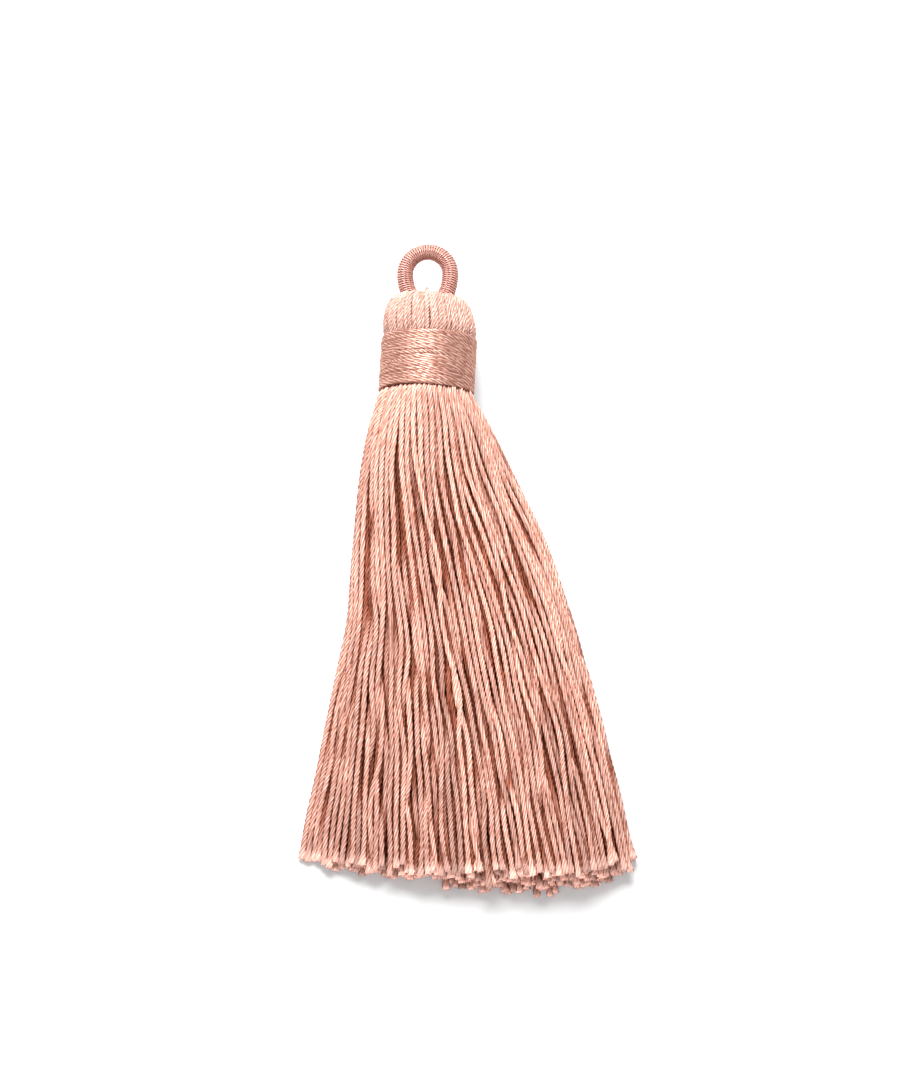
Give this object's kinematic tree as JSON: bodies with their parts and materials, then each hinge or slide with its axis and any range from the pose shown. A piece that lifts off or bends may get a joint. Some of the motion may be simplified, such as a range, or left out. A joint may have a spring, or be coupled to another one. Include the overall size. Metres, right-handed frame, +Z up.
{
  "type": "tassel",
  "caption": "Silky thread tassel lying on its side: cut skirt spread on the surface, wound neck band, round head and a small thread-wrapped hanging ring.",
  "frame": {"origin": "on the surface that the tassel lies on, below the middle of the whole tassel's box", "axes": "+Y along the tassel from the cut ends to the hanging ring, +X across the skirt, +Z up from the surface"},
  "size_m": [0.0398, 0.08, 0.0105],
  "materials": {
    "skirt_thread": "silky twisted thread with a soft sheen, dusty pink",
    "band_thread": "the same thread wound tightly side by side, a little darker",
    "ring_thread": "finer silky thread wrapped closely around the ring"
  },
  "bodies": {
    "root": {"thread_bundle": "skirt_thread", "neck_band": "band_thread", "hanging_ring": "ring_thread"}
  },
  "joints": []
}
